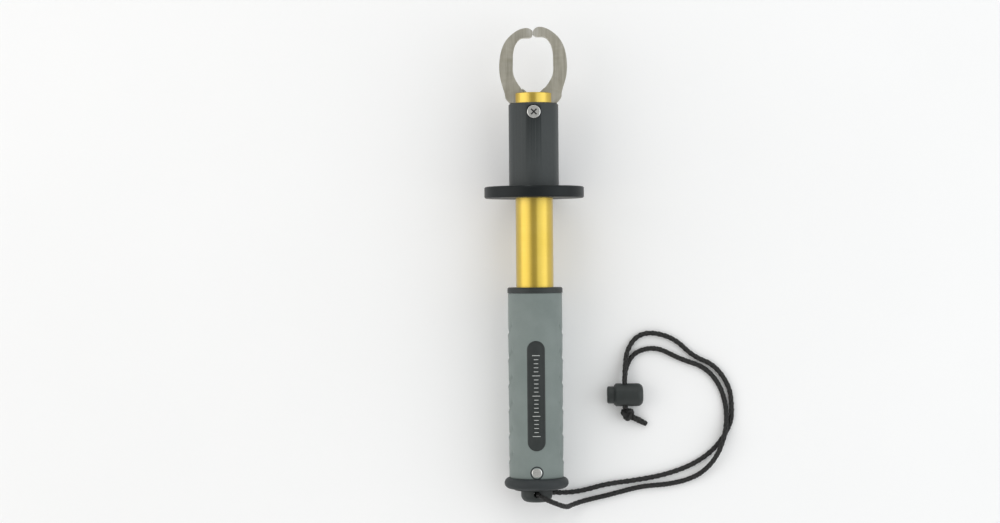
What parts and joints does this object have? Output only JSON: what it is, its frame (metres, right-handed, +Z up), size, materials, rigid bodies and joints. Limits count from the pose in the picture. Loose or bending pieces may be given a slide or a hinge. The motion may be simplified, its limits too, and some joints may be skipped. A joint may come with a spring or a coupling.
{
  "type": "lip grip",
  "caption": "Fish lip grip with two hooked steel jaws, a sliding sleeve with a finger flange, a spring scale in a rubber handle and a wrist cord with a cord lock.",
  "frame": {"origin": "centre of the bounding box's bottom, without the wrist cord, on the floor that the grip lies on", "axes": "+Y from the handle's dome to the jaws, +Z up from the floor through the grip's front, +X to the side that the wrist cord lies on"},
  "size_m": [0.1384, 0.2649, 0.055],
  "materials": {
    "polished_steel": "brushed",
    "gold_anodised": "anodised, gold",
    "black_anodised": "satin black",
    "rubber_grey_green": "matt",
    "rubber_black": "satin",
    "black_plastic": "satin",
    "bright_steel": "polished",
    "spring_steel": "drawn",
    "black_cord": "twisted"
  },
  "bodies": {
    "handle": {"front_bush": "black_plastic", "handle_core": "black_plastic", "rubber_grip": "rubber_grey_green", "grip_badge": "black_plastic", "handle_rivet": "bright_steel", "end_bumper": "rubber_black", "end_plug": "black_plastic", "scale_rod": "bright_steel", "scale_washer": "bright_steel", "scale_nut": "bright_steel", "scale_spring": "spring_steel", "cord_front": "black_cord", "cord_back": "black_cord", "cord_knot": "black_cord", "cord_tail": "black_cord", "cord_lock_body": "black_plastic", "cord_lock_spring": "spring_steel"},
    "stem": {"stem_tube": "gold_anodised", "stem_plug": "black_plastic", "stem_pins": "bright_steel", "retaining_clip": "bright_steel", "spring_washer": "bright_steel", "return_spring": "spring_steel", "pivot_pin": "bright_steel"},
    "sleeve": {"sleeve": "black_anodised", "finger_flange": "black_anodised", "cam_post": "bright_steel", "cam_screw": "bright_steel"},
    "jaw_left": {"jaw_left": "polished_steel"},
    "jaw_right": {"jaw_right": "polished_steel"},
    "lock_button": {"cord_lock_button": "black_plastic"}
  },
  "joints": [
    {"name": "scale_slide", "type": "slide", "parent": "handle", "child": "stem", "axis": [0, 0.9981, 0.0618], "range_m": [0, 0.036], "stiffness_N_per_m": 6000, "springref_m": -0.0003, "deforming": ["scale_spring"]},
    {"name": "sleeve_slide", "type": "slide", "parent": "stem", "child": "sleeve", "axis": [0, -0.9981, -0.0618], "range_m": [0, 0.015], "stiffness_N_per_m": 900, "springref_m": -0.012, "deforming": ["return_spring"]},
    {"name": "jaw_left_pivot", "type": "hinge", "parent": "stem", "child": "jaw_left", "pos_m": [0, 0.06129, 0.02881], "axis": [0, -0.0618, 0.9981], "range_deg": [0, 17.67]},
    {"name": "jaw_right_pivot", "type": "hinge", "parent": "stem", "child": "jaw_right", "pos_m": [0, 0.06129, 0.02881], "axis": [0, -0.0618, 0.9981], "range_deg": [-17.67, 0]},
    {"name": "lock_press", "type": "slide", "parent": "handle", "child": "lock_button", "axis": [1, 0, 0], "range_m": [0, 0.003], "stiffness_N_per_m": 500, "springref_m": -0.004, "deforming": ["cord_lock_spring"]}
  ],
  "couplings": [
    {"joint": "jaw_left_pivot", "follows": "sleeve_slide", "rad_per_m": 20.5},
    {"joint": "jaw_right_pivot", "follows": "sleeve_slide", "rad_per_m": -20.5}
  ]
}
